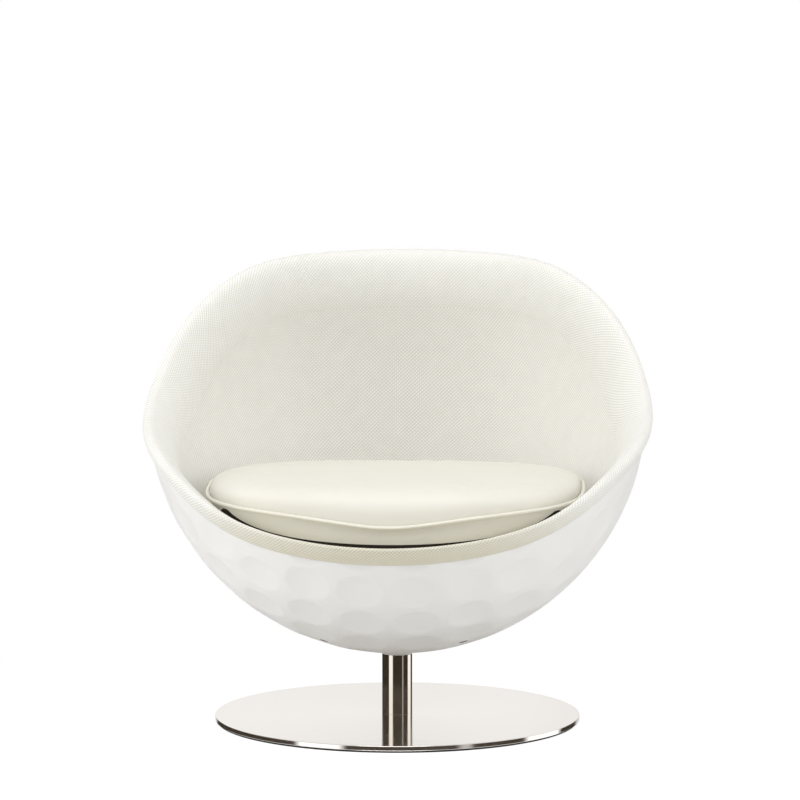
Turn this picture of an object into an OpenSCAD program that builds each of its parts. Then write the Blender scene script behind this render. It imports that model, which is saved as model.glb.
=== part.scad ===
// Swivel armchair with a dimpled ball shell on a round pedestal.
// Millimetres, +Z up, front towards -Y. The origin is on the floor under the column.

/* [Base] */
// Diameter of the round base plate
base_d = 600; // [480:5:760]
// Thickness of the base plate
base_t = 8; // [7:0.5:14]
// Rounding of the base plate's edges
base_edge_r = 1; // [0.5:0.1:3]
// Thickness of the floor pad
pad_t = 3; // [2:0.5:6]
// How far the floor pad stays back from the plate's edge
pad_inset = 4; // [2:1:15]
// Thread of the four countersunk base screws
base_screw_d = 8; // [5:1:8]
// Height of the base screws' conical heads
base_screw_head_t = 4; // [3:0.5:4.5]
// Diameter of the circle that the base screws stand on
base_screw_circle_d = 25; // [24:1:26]
// Length of the base screws
base_screw_l = 24; // [16:1:30]

/* [Column] */
// Outer diameter of the column tube
column_d = 50; // [48:1:60]
// Wall of the column tube
column_wall = 3; // [2:0.5:3]
// Height of the plug welded into the column's foot
foot_h = 25; // [18:1:28]

/* [Swivel] */
// Diameter of the spindle
spindle_d = 30; // [26:1:32]
// Play between spindle and bushes, on the radius
running_gap = 0.05; // [0.02:0.01:0.1]
// Length of the lower bush
lower_bush_l = 16; // [8:1:16]
// Length of the upper bush inside the tube
upper_bush_l = 14; // [8:1:15]
// Thickness of the pale ring that the upper bush shows above the column
ring_t = 3.6; // [2:0.2:5]
// Gap between what turns and what stands
turning_gap = 0.4; // [0.3:0.1:1]
// Diameter of the bearing balls
bearing_ball_d = 6; // [4:0.5:6]
// Number of bearing balls
bearing_balls_n = 12; // [8:1:14]
// Diameter of the circle of bearing balls
bearing_circle_d = 32; // [30:1:33]
// Thickness of each bearing race
race_t = 3.5; // [3:0.1:4]
// Breadth of each bearing race
race_w = 10; // [9:0.5:10]
// Height of the ball centres above the lower race
race_lift = 1.8; // [1.5:0.1:2]
// Play around the bearing balls
ball_gap = 0.3; // [0.2:0.05:0.4]
// Thickness of the bearing cage
cage_t = 1.6; // [1:0.2:2]
// Thickness of the retaining ring
clip_t = 1.75; // [1:0.25:2]
// How far the retaining ring stands out of the spindle
clip_w = 4; // [2:0.5:5]
// Depth of the retaining ring's groove
clip_groove = 1.2; // [0.8:0.1:2]
// Height of the retaining ring above the spindle's foot
clip_lift = 4; // [3:0.5:5]
// Opening of the retaining ring
clip_mouth = 6; // [4:1:10]

/* [Seat frame] */
// Diameter of the spindle's flange and of the cross frame's hub
flange_d = 120; // [110:2:140]
// Thickness of the flange
flange_t = 8; // [6:1:12]
// Thickness of the hub plate
hub_t = 6; // [4:1:10]
// Thread of the flange bolts and of the shell screws
bolt_d = 8; // [6:1:10]
// Diameter of the circle of flange bolts
bolt_circle_d = 88; // [80:2:90]
// Width across the corners of the flange bolts' heads
bolt_head_d = 15; // [12:1:18]
// Height of the flange bolts' heads
bolt_head_t = 5.5; // [4:0.5:7]
// Thickness of the four upright arms
arm_t = 8; // [6:1:12]
// Height of the arms above the hub plate
arm_h = 30; // [24:1:34]
// Angle of the shell screws from straight down
screw_tilt = 23; // [22:0.5:24]
// Diameter of the threaded bosses at the arms' ends
boss_d = 28; // [22:1:32]
// Length of the threaded bosses
boss_l = 16; // [12:1:20]
// Length of the shell screws
shell_screw_l = 18; // [12:1:20]
// Diameter of the shell screws' heads
shell_screw_head_d = 14; // [12:0.5:16]
// Height of the shell screws' heads
shell_screw_head_t = 3.4; // [2.5:0.1:3.5]
// Diameter of the four posts under the seat board
post_d = 20; // [16:1:24]
// Distance of the posts from the axis
post_reach = 95; // [85:1:105]
// Thread of the seat board's countersunk screws
board_screw_d = 6; // [4:1:6]
// Length of the seat board's screws
board_screw_l = 32; // [25:1:40]

/* [Shell] */
// Diameter of the ball
ball_d = 815; // [800:1:830]
// Height of the ball's lowest point above the floor
ball_floor_gap = 113.5; // [111:0.5:125]
// Wall of the ball shell
shell_t = 8; // [7:0.5:9]
// Extra wall where the shell is screwed to the frame
shell_pad_t = 4; // [2:0.5:6]
// Diameter of these thick places
shell_pad_d = 36; // [34:1:44]
// Depth of the round recess for each shell screw's head
recess_t = 4; // [3.5:0.1:5]
// Play around each shell screw's head
recess_gap = 1; // [0.5:0.25:2]
// Diameter of the hole that the spindle passes through
spindle_hole_d = 36; // [33:1:44]
// Diameter of a dimple
dimple_d = 74; // [40:1:78]
// Depth of a dimple
dimple_depth = 4.5; // [3:0.1:4.8]

/* [Padding] */
// Thickness of the wall foam inside the shell
foam_t = 28; // [24:1:30]
// Thickness of the fabric
fabric_t = 1.5; // [1:0.25:2.5]
// Height of the seat deck above the floor
deck_h = 300; // [292:1:303]
// Thickness of the seat deck's foam
deck_foam_t = 40; // [30:1:50]
// Thickness of the seat board
board_t = 18; // [15:1:22]
// Gap between the seat board and the shell
board_gap = 8; // [4:1:12]

/* [Rim roll] */
// Radius of the padded roll that covers the rim
roll_r = 12; // [10:0.5:14]
// How far the roll stands out of the ball
roll_proud = 10; // [7:0.5:12]
// How far the outer hem reaches below the middle of the roll
skirt_h = 16; // [14:1:22]
// How far the inner side of the roll reaches below its middle, at the front
roll_inner_h = 30; // [24:1:34]
// The same reach at the sides and behind, where the roll runs out into the wall
roll_back_h = 85; // [60:1:100]
// How far the shell's edge stays below the middle of the roll
shell_edge_drop = 6; // [4:0.5:8]
// Play between the soft pieces and what they cover
soft_gap = 0.5; // [0.5:0.05:0.7]
// Width of the tack strip under the hem
strip_w = 8; // [5:0.5:8]
// Thickness of the tack strip
strip_t = 1.2; // [0.8:0.1:1.4]

/* [Cushion] */
// Width of the cushion
cushion_w = 614; // [560:2:620]
// Reach of the cushion in front of its middle
cushion_front = 272; // [240:2:276]
// Reach of the cushion behind its middle
cushion_back = 260; // [240:2:270]
// How far the cushion's middle lies in front of the axis
cushion_shift = 25; // [15:1:30]
// Height of the cushion's crown above the floor
crown_h = 412; // [405:1:430]
// Height of the cushion's edge at its sides
edge_side_h = 392; // [380:1:396]
// Height of the cushion's edge at the middle of its front
edge_front_h = 348; // [344:0.5:360]
// Diameter of the piping
piping_d = 6; // [4:0.5:7]
// Thickness of the cushion's leather and its wadding
cushion_skin_t = 4; // [3:0.5:6]

/* [Hidden] */
round_n = 64;
ball_n = 256;
cut = 1; // overrun of every cut

// Heights of the base and the column
plate_top = pad_t + base_t;
column_r = column_d / 2;
bore_r = column_r - column_wall;
ring_top = ball_floor_gap - turning_gap;
column_top = ring_top - ring_t;
foot_top = plate_top + foot_h;
ball_plane = foot_top + race_t + race_lift;
bearing_top = ball_plane + race_lift + race_t;
clip_z = bearing_top + clip_lift;
lower_bush_z = clip_z + clip_t + turning_gap;
spindle_r = spindle_d / 2;
bearing_circle_r = bearing_circle_d / 2;
bearing_ball_r = bearing_ball_d / 2;
groove_r = bearing_ball_r + ball_gap;

// The ball
ball_r = ball_d / 2;
ball_z = ball_floor_gap + ball_r;
shell_in_r = ball_r - shell_t;
foam_in_r = shell_in_r - foam_t;
cloth_in_r = foam_in_r - fabric_t;

// Height at which a ball of radius r is met at the distance d from the axis, and the reverse
function bowl_z(r, d) = ball_z - sqrt(r * r - d * d);
function bowl_reach(r, z) = sqrt(r * r - (ball_z - z) * (ball_z - z));

// The seat frame stands on the flange, just clear of the shell
flange_z = bowl_z(shell_in_r, flange_d / 2) + soft_gap;
hub_z = flange_z + flange_t;
arm_z = hub_z + hub_t;
arm_top = arm_z + arm_h;
bolt_r = bolt_d / 2;
boss_end_r = shell_in_r - shell_pad_t;
arm_reach = (boss_end_r - boss_l / 2) * sin(screw_tilt);
head_seat_r = ball_r - recess_t;
board_top = deck_h - fabric_t - deck_foam_t;
board_z = board_top - board_t;
board_r = bowl_reach(shell_in_r, board_z) - board_gap;
board_screw_r = board_screw_d / 2;
first_arm_turn = 45;

// The rim, seen from the side as shares of the ball's radius: y to the back, z up
rim_y_shares = [-1, -0.72, -0.48, -0.24, 0, 0.2, 0.4, 0.58, 0.78, 1];
rim_z_shares = [-0.565, -0.428, -0.256, -0.138, -0.036, 0.104, 0.348, 0.516, 0.577, 0.6];
rim_last = len(rim_y_shares) - 1;
rim_stations = 72;
rim_passes_n = 14;
rim_turn = 360 / rim_stations;
roll_mid_r = ball_r + roll_proud - roll_r;
far_r = 2 * ball_r;

// A smooth curve through the rim's points: slope at a point, then the height between two
function rim_slope(i) =
  let (a = max(i - 1, 0), b = min(i + 1, rim_last))
  (rim_z_shares[b] - rim_z_shares[a]) / (rim_y_shares[b] - rim_y_shares[a]);
function rim_span(s, i = 0) = i == rim_last - 1 || s < rim_y_shares[i + 1] ? i : rim_span(s, i + 1);
function rim_share(s) =
  let (i = rim_span(s), w = rim_y_shares[i + 1] - rim_y_shares[i], t = (s - rim_y_shares[i]) / w)
  (1 + 2 * t) * (1 - t) * (1 - t) * rim_z_shares[i] + t * t * (3 - 2 * t) * rim_z_shares[i + 1]
  + w * t * (1 - t) * (1 - t) * rim_slope(i) - w * t * t * (1 - t) * rim_slope(i + 1);

// Unit direction from the ball's centre to the middle of the roll, at a turn about the axis
function rim_height(turn, n = rim_passes_n, z = 0) =
  n <= 0 ? z : rim_height(turn, n - 1, rim_share(sin(turn) * sqrt(1 - z * z)));
function rim_mid(turn) =
  let (z = rim_height(turn), h = sqrt(1 - z * z)) [h * cos(turn), h * sin(turn), z];
function unit(v) = v / norm(v);
// The direction along the ball that leads square away from the shell's edge
function rim_up(turn) = unit(cross(rim_mid(turn), rim_mid(turn + 1) - rim_mid(turn - 1)));
// Direction of a point that lies up by a distance along the ball
function rim_dir(turn, up) = unit(rim_mid(turn) + rim_up(turn) * (up / ball_r));

// How much deeper the roll's inner side reaches than at the front; it grows with the height of the rim
function roll_sink(turn) = let (t = min(1, 1 - rim_height(turn) / rim_z_shares[0]))
  (roll_back_h - roll_inner_h) * t * t * (3 - 2 * t);

// Everything above the rim line, moved along the ball by up and down by a share of the roll's sink
module above_rim(up, sink_share = 0) {
  ring = [for (k = [0:rim_stations - 1])
    far_r * rim_dir(k * rim_turn, up - sink_share * roll_sink(k * rim_turn))];
  n = rim_stations;
  translate([0, 0, ball_z])
    polyhedron(
      points = concat(ring, [[0, 0, 0], [0, 0, 2 * far_r]]),
      faces = concat(
        [for (k = [0:n - 1]) [n, k, (k + 1) % n]],
        [for (k = [0:n - 1]) [n + 1, (k + 1) % n, k]]));
}

// Triangles of a closed ring of n closed sections with m points each. Their diagonals lean ahead, or
// back where a sweep runs along another one whose section is listed the other way round.
function ring_faces(n, m, back = false) = [
  for (k = [0:n - 1], j = [0:m - 1], side = [0, 1])
    let (a = k * m + j, b = k * m + (j + 1) % m,
      c = (k + 1) % n * m + (j + 1) % m, d = (k + 1) % n * m + j)
    back ? (side == 0 ? [a, b, d] : [b, c, d]) : (side == 0 ? [a, b, c] : [a, c, d])];

// A section carried around the rim: each point is a distance from the centre, one up the ball and
// the share of the roll's sink that it follows
module rim_sweep(section, back = false) {
  translate([0, 0, ball_z])
    polyhedron(
      points = [for (k = [0:rim_stations - 1], p = section)
        p[0] * rim_dir(k * rim_turn, p[1] - p[2] * roll_sink(k * rim_turn))],
      faces = ring_faces(rim_stations, len(section), back));
}

// The hem lies on the ball. Its chords between two stations stay clear of the shell as well.
widest_turn = max([for (k = [0:rim_stations - 1]) acos(rim_mid(k * rim_turn) * rim_mid((k + 1) * rim_turn))]);
hem_r = (ball_r + soft_gap) / cos(widest_turn / 2);
// Outline of the roll, drawn in by inset: the skirt from its hem up, then over the top to the inner end
function skirt_outline(inset) = [for (t = [-90:30:-30])
  [hem_r + fabric_t - inset + (roll_mid_r + roll_r - hem_r - fabric_t) * cos(t), skirt_h * sin(t), 0]];
function top_outline(inset) = let (r = roll_r - inset) concat(
  [for (t = [0:30:90]) [roll_mid_r + r * cos(t), r * sin(t), 0]],
  [for (t = [22.5:22.5:90])
    [roll_mid_r - (roll_mid_r - cloth_in_r - inset) * sin(t), (r + roll_inner_h) * cos(t) - roll_inner_h,
      1 - cos(t)]]);
function reversed(list) = [for (i = [len(list) - 1:-1:0]) list[i]];

// The dimples stand in rows around the left-right axis; so many in each, from the middle outwards
row_counts = [30, 30, 24, 22, 18, 12, 6];
row_step = 180 / (2 * len(row_counts) + 1);
dimple_r = dimple_d / 2;
dimple_sag = ball_r - sqrt(ball_r * ball_r - dimple_r * dimple_r);
dimple_rise = dimple_depth - dimple_sag;
dimple_tool_r = (dimple_r * dimple_r + dimple_rise * dimple_rise) / (2 * dimple_rise);
dimple_turn = asin(dimple_r / ball_r);
function row_dir(side, turn) = [sin(side), -cos(side) * sin(turn), -cos(side) * cos(turn)];
// A dimple is cut where any of it lies below the rim
function dimple_shows(d) =
  d[2] < rim_share(d[1]) + sin(dimple_turn) && norm([d[0], d[1]]) * ball_r > spindle_hole_d;

// Plan of the cushion: a squarish oval, fuller than an ellipse
plan_power = 2.8;
cushion_stations = 48;
piping_sides = 8;
cushion_turn = 360 / cushion_stations;
piping_r = piping_d / 2;
cushion_rise = edge_side_h - edge_front_h;
cushion_shares = [0.4, 0.7, 0.86, 0.95, 0.99];
core_shares = [0.7, 0.94];
top_power = 10;
bottom_power = 4;
top_fullness = 0.35;
bottom_fullness = 0.35;
dip_power = 3;
wide_dip_share = 0.47;
function full(c) = sign(c) * pow(abs(c), 2 / plan_power);
function plan(turn, inset) = [
  (cushion_w / 2 - inset) * full(cos(turn)),
  ((sin(turn) < 0 ? cushion_front : cushion_back) - inset) * full(sin(turn)),
  0];
// Height of the edge: level behind, dipping to the front in a wide sag with a soft V in its middle
function edge_z(turn) =
  let (c = max(0, -sin(turn)),
    sag = wide_dip_share * sqrt(c),
    middle = (1 - wide_dip_share) * pow(1 - abs(cos(turn)), dip_power))
  edge_side_h - (c > 0 ? cushion_rise * (sag + middle) : 0);
function top_z(turn, share, inset) =
  let (w = pow(1 - pow(share, top_power), top_fullness))
  edge_z(turn) * (1 - w) + (crown_h - inset) * w;
function bottom_z(turn, share, inset) =
  let (w = pow(1 - pow(share, bottom_power), bottom_fullness))
  edge_z(turn) * (1 - w) + (deck_h + soft_gap + inset) * w;

// The cushion's closed form, drawn in all round by inset
module cushion_form(inset, shares) {
  n = cushion_stations;
  down = reversed(shares);
  rings = 2 * len(shares) + 1;
  edge_inset = piping_d + inset;
  top_rings = [for (s = shares, k = [0:n - 1])
    s * plan(k * cushion_turn, edge_inset) + [0, 0, top_z(k * cushion_turn, s, inset)]];
  edge_ring = [for (k = [0:n - 1])
    plan(k * cushion_turn, edge_inset) + [0, 0, edge_z(k * cushion_turn)]];
  low_rings = [for (s = down, k = [0:n - 1])
    s * plan(k * cushion_turn, edge_inset) + [0, 0, bottom_z(k * cushion_turn, s, inset)]];
  last = rings * n;
  translate([0, -cushion_shift, 0])
    polyhedron(
      points = concat(top_rings, edge_ring, low_rings,
        [[0, 0, crown_h - inset], [0, 0, deck_h + soft_gap + inset]]),
      faces = concat(
        [for (k = [0:n - 1]) [last, (k + 1) % n, k]],
        [for (i = [0:rings - 2], k = [0:n - 1], side = [0, 1])
          let (a = i * n + k, b = i * n + (k + 1) % n,
            c = (i + 1) * n + (k + 1) % n, d = (i + 1) * n + k)
          side == 0 ? [a, b, c] : [a, c, d]],
        [for (k = [0:n - 1]) [last - n + k, last - n + (k + 1) % n, last + 1]]));
}

// Frames for what repeats
module around(count, reach, first = 0) {
  for (k = [0:count - 1]) rotate([0, 0, first + k * 360 / count]) translate([reach, 0, 0]) children();
}
// Along a shell screw, seen from the ball's centre: local +Z points out through the shell
module at_shell_screws() {
  translate([0, 0, ball_z])
    for (k = [0:3]) rotate([0, 0, first_arm_turn + k * 90]) rotate([0, 180 - screw_tilt, 0]) children();
}
module disc(r, h, z = 0) {
  translate([0, 0, z]) cylinder(r = r, h = h, $fn = round_n);
}
module pipe(r_out, r_in, h, z) {
  difference() {
    disc(r_out, h, z);
    disc(r_in, h + 2 * cut, z - cut);
  }
}
module ball(r) {
  translate([0, 0, ball_z]) sphere(r = r, $fn = ball_n);
}
module wedge_head(d, h, z, up) {
  translate([0, 0, z])
    cylinder(r1 = up ? d / 2 : d, r2 = up ? d : d / 2, h = h, $fn = round_n);
}

module floor_pad() color("#1b1b1d") disc(base_d / 2 - pad_inset, pad_t);

module base_plate() color("#c9c9c8")
  difference() {
    translate([0, 0, pad_t])
      rotate_extrude($fn = round_n) {
        square([base_d / 2 - base_edge_r, base_t]);
        translate([0, base_edge_r]) square([base_d / 2, base_t - 2 * base_edge_r]);
        for (z = [base_edge_r, base_t - base_edge_r])
          translate([base_d / 2 - base_edge_r, z]) circle(r = base_edge_r, $fn = round_n);
      }
    around(4, base_screw_circle_d / 2, first_arm_turn) {
      wedge_head(base_screw_d, base_screw_head_t, pad_t, false);
      disc(base_screw_d / 2, base_t + 2 * cut, pad_t - cut);
    }
  }

module base_screws() color("#8d8d90")
  around(4, base_screw_circle_d / 2, first_arm_turn) {
    wedge_head(base_screw_d, base_screw_head_t, pad_t, false);
    disc(base_screw_d / 2, base_screw_l, pad_t);
  }

module column_foot() color("#7d7f82")
  difference() {
    disc(bore_r, foot_h, plate_top);
    around(4, base_screw_circle_d / 2, first_arm_turn)
      disc(base_screw_d / 2, base_screw_l - base_t + cut, plate_top - cut);
  }

module column_tube() color("#b9b7b2")
  pipe(column_r, bore_r, column_top - plate_top, plate_top);

module lower_bush() color("#dcdad2")
  pipe(bore_r, spindle_r + running_gap, lower_bush_l, lower_bush_z);

module upper_bush() color("#e6e4dd")
  difference() {
    union() {
      disc(bore_r, upper_bush_l, column_top - upper_bush_l);
      disc(column_r, ring_t, column_top);
    }
    disc(spindle_r + running_gap, upper_bush_l + ring_t + 2 * cut, column_top - upper_bush_l - cut);
  }

module race(z) {
  difference() {
    pipe(bearing_circle_r + race_w / 2, bearing_circle_r - race_w / 2, race_t, z);
    translate([0, 0, ball_plane])
      rotate_extrude($fn = round_n)
        translate([bearing_circle_r, 0]) circle(r = groove_r, $fn = round_n);
  }
}
module bearing_lower_race() color("#a3a5a8") race(foot_top);
module bearing_upper_race() color("#a3a5a8") race(ball_plane + race_lift);

module bearing_cage() color("#b8975a")
  difference() {
    pipe(bearing_circle_r + race_w / 2, bearing_circle_r - race_w / 2, cage_t, ball_plane - cage_t / 2);
    around(bearing_balls_n, bearing_circle_r)
      disc(groove_r, cage_t + 2 * cut, ball_plane - cage_t / 2 - cut);
  }

module bearing_balls() color("#d6d8da")
  around(bearing_balls_n, bearing_circle_r)
    translate([0, 0, ball_plane]) sphere(r = bearing_ball_r, $fn = round_n);

module spindle() color("#8a8c90")
  difference() {
    disc(spindle_r, hub_z - bearing_top, bearing_top);
    pipe(spindle_r + cut, spindle_r - clip_groove, clip_t, clip_z);
  }

module retaining_ring() color("#3a3b3d")
  difference() {
    pipe(spindle_r + clip_w, spindle_r - clip_groove, clip_t, clip_z);
    translate([0, -clip_mouth / 2, clip_z - cut])
      cube([spindle_r + clip_w + cut, clip_mouth, clip_t + 2 * cut]);
  }

module spindle_flange() color("#6f7276")
  difference() {
    disc(flange_d / 2, flange_t, flange_z);
    disc(spindle_r, flange_t + 2 * cut, flange_z - cut);
    around(4, bolt_circle_d / 2) disc(bolt_r, flange_t + 2 * cut, flange_z - cut);
  }

module cross_frame() color("#34363a")
  difference() {
    union() {
      disc(flange_d / 2, hub_t, hub_z);
      intersection() {
        for (turn = [first_arm_turn, first_arm_turn + 90])
          rotate([0, 0, turn])
            translate([-arm_reach, -arm_t / 2, hub_z]) cube([2 * arm_reach, arm_t, hub_t + arm_h]);
        ball(boss_end_r - turning_gap);
      }
      intersection() {
        at_shell_screws()
          translate([0, 0, boss_end_r - boss_l]) cylinder(d = boss_d, h = boss_l + cut, $fn = round_n);
        ball(boss_end_r);
      }
    }
    around(4, bolt_circle_d / 2) disc(bolt_r, hub_t + 2 * cut, hub_z - cut);
    at_shell_screws()
      translate([0, 0, boss_end_r - boss_l - cut])
        cylinder(r = bolt_r, h = boss_l + 2 * cut, $fn = round_n);
  }

module flange_bolts() color("#55585c")
  around(4, bolt_circle_d / 2) {
    disc(bolt_r, hub_t + flange_t, flange_z);
    translate([0, 0, arm_z]) cylinder(d = bolt_head_d, h = bolt_head_t, $fn = 6);
  }

module shell() color("#eef0f0")
  difference() {
    ball(ball_r);
    difference() {
      ball(shell_in_r);
      at_shell_screws() translate([0, 0, boss_end_r])
        cylinder(d = shell_pad_d, h = shell_pad_t + shell_t, $fn = round_n);
    }
    above_rim(-shell_edge_drop);
    disc(spindle_hole_d / 2, ball_r / 2, 0);
    at_shell_screws() {
      translate([0, 0, boss_end_r - cut]) cylinder(r = bolt_r, h = ball_r - boss_end_r, $fn = round_n);
      translate([0, 0, head_seat_r])
        cylinder(r = shell_screw_head_d / 2 + recess_gap, h = recess_t + 3 * cut, $fn = round_n);
    }
    dimples();
  }

module dimples() {
  for (i = [0:len(row_counts) - 1], half = [-1, 1], k = [0:row_counts[i] - 1]) {
    side = half * (2 * i + 1) * row_step / 2;
    turn = k * 360 / row_counts[i];
    if (dimple_shows(row_dir(side, turn)))
      translate([0, 0, ball_z])
        rotate([-turn, 0, 0]) rotate([0, 180 - side, 0]) translate([0, 0, ball_r - dimple_depth])
          intersection() {
            translate([0, 0, dimple_tool_r]) rotate([90, 0, 0]) sphere(r = dimple_tool_r, $fn = ball_n);
            translate([0, 0, -cut]) cylinder(r = dimple_r + cut, h = dimple_depth + 2 * cut, $fn = round_n);
          }
  }
}

module shell_screws() color("#2b2c2e")
  at_shell_screws() {
    translate([0, 0, head_seat_r - shell_screw_l]) cylinder(r = bolt_r, h = shell_screw_l, $fn = round_n);
    translate([0, 0, head_seat_r])
      cylinder(d = shell_screw_head_d, h = shell_screw_head_t, $fn = round_n);
  }

module board_posts() color("#4a4c50")
  around(4, post_reach, first_arm_turn)
    pipe(post_d / 2, board_screw_r, board_z - arm_top, arm_top);

module seat_board() color("#c8a877")
  difference() {
    disc(board_r, board_t, board_z);
    around(4, post_reach, first_arm_turn) {
      disc(board_screw_r, board_t + 2 * cut, board_z - cut);
      wedge_head(board_screw_d, board_screw_r, board_top - board_screw_r, true);
    }
  }

module board_screws() color("#9b9c9e")
  around(4, post_reach, first_arm_turn) {
    disc(board_screw_r, board_screw_l, board_top - board_screw_l);
    wedge_head(board_screw_d, board_screw_r, board_top - board_screw_r, true);
  }

module wall_foam() color("#e9e2c8")
  difference() {
    ball(shell_in_r);
    ball(foam_in_r);
    above_rim(-roll_inner_h, 1);
    disc(ball_r, board_top);
  }

module deck_foam() color("#e4dcc0")
  intersection() {
    ball(foam_in_r);
    disc(ball_r, deck_foam_t, board_top);
  }

module lining() color("#eeebdd")
  difference() {
    ball(foam_in_r);
    intersection() {
      ball(cloth_in_r);
      disc(ball_r, far_r, deck_h);
    }
    above_rim(-roll_inner_h, 1);
    disc(ball_r, deck_h - fabric_t);
  }

module rim_core() color("#e9e2c8")
  rim_sweep(concat(
    [[hem_r, soft_gap - shell_edge_drop, 0]],
    top_outline(fabric_t),
    [[shell_in_r - soft_gap, -roll_inner_h, 1], [shell_in_r - soft_gap, soft_gap - shell_edge_drop, 0]]),
    back = true);

module rim_cover() color("#efecde")
  rim_sweep(concat(
    skirt_outline(0), top_outline(0), reversed(top_outline(fabric_t)), reversed(skirt_outline(fabric_t))));

module tack_strip() color("#3c3a36")
  rim_sweep([for (p = [[0, 0], [strip_t, 0], [strip_t, strip_w], [0, strip_w]])
    [hem_r + p[0], p[1] - skirt_h + fabric_t, 0]]);

module cushion_cover() color("#efe8cf")
  difference() {
    cushion_form(0, cushion_shares);
    cushion_form(cushion_skin_t, core_shares);
  }

module cushion_core() color("#f0e6b8") cushion_form(cushion_skin_t + soft_gap, core_shares);

module cushion_piping() color("#e9e1c6")
  translate([0, -cushion_shift, 0])
    polyhedron(
      points = [for (k = [0:cushion_stations - 1], j = [0:piping_sides - 1])
        let (turn = k * cushion_turn, way = j * 360 / piping_sides, p = plan(turn, piping_r - soft_gap))
        p + unit(p) * piping_r * cos(way) + [0, 0, edge_z(turn) + piping_r * sin(way)]],
      faces = ring_faces(cushion_stations, piping_sides));

floor_pad();
base_plate();
base_screws();
column_foot();
column_tube();
lower_bush();
upper_bush();
bearing_lower_race();
bearing_cage();
bearing_balls();
bearing_upper_race();
spindle();
retaining_ring();
spindle_flange();
cross_frame();
flange_bolts();
shell();
shell_screws();
board_posts();
seat_board();
board_screws();
wall_foam();
deck_foam();
lining();
rim_core();
rim_cover();
tack_strip();
cushion_cover();
cushion_core();
cushion_piping();
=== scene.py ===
import math

import bpy
import numpy as np
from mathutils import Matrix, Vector


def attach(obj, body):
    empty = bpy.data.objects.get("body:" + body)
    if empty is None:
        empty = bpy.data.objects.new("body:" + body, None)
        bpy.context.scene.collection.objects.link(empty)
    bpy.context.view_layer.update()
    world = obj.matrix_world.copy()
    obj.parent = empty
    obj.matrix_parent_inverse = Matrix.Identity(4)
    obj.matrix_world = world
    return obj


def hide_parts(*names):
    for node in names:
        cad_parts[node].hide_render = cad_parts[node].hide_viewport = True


# Swivel armchair: a dimpled ball shell on a steel pedestal, woven lining, padded rim, loose cushion.
# Metres, +Z up, front towards -Y, origin on the floor under the column.

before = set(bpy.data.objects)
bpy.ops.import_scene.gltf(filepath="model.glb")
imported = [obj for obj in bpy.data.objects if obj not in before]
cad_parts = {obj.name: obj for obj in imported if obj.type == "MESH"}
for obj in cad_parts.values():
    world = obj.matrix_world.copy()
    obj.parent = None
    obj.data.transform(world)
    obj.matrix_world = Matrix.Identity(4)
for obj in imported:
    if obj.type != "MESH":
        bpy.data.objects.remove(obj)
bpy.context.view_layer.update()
print("frame loaded:", len(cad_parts), "nodes")


# Small helpers

def linearColour(hexText):  # an sRGB hex colour as linear RGBA
    parts = [int(hexText[i:i + 2], 16) / 255 for i in (1, 3, 5)]
    return [c / 12.92 if c <= 0.04045 else ((c + 0.055) / 1.055) ** 2.4 for c in parts] + [1]


def grey(level):  # the same linear level in all three channels
    return (level, level, level, 1)


# inputs: socket -> value, or (node, output) for a link. Where sockets go by number, Map Range has its
# source range at 1 and 2 and its result range at 3 and 4, Mix its colours at 6 and 7, and Mapping its
# scale at 3.
def addNode(tree, kind, inputs=None, **settings):
    node = tree.nodes.new(kind)
    for name, value in settings.items():
        setattr(node, name, value)
    for socket, value in (inputs or {}).items():
        if isinstance(value, tuple) and hasattr(value[0], "outputs"):
            tree.links.new(value[0].outputs[value[1]], node.inputs[socket])
        else:
            node.inputs[socket].default_value = value
    return node


def newMaterial(name, **sockets):  # a Principled material; returns it with its tree and shader
    material = bpy.data.materials.new(name)
    material.use_nodes = True
    tree = material.node_tree
    shader = tree.nodes["Principled BSDF"]
    for socket, value in sockets.items():
        shader.inputs[socket.replace("_", " ")].default_value = value
    return material, tree, shader


def feedShader(tree, shader, **sources):  # sources: socket = (node, output)
    for socket, (node, output) in sources.items():
        tree.links.new(node.outputs[output], shader.inputs[socket.replace("_", " ")])


def fullTurn(count):  # even steps round the whole circle, in radians
    return np.arange(count) * 2 * math.pi / count


def unit(v):  # each vector divided by its length
    return v / np.linalg.norm(v, axis=-1, keepdims=True)


def smoothMin(a, b, width):  # the smaller of two, rounded where they are closer than width
    h = np.clip(width - np.abs(a - b), 0, None) / width
    return np.minimum(a, b) - h * h * width / 4


def smoothStep(low, high, x):  # 0 up to low, 1 from high on, a soft S between them
    t = np.clip((x - low) / (high - low), 0, 1)
    return t * t * (3 - 2 * t)


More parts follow.
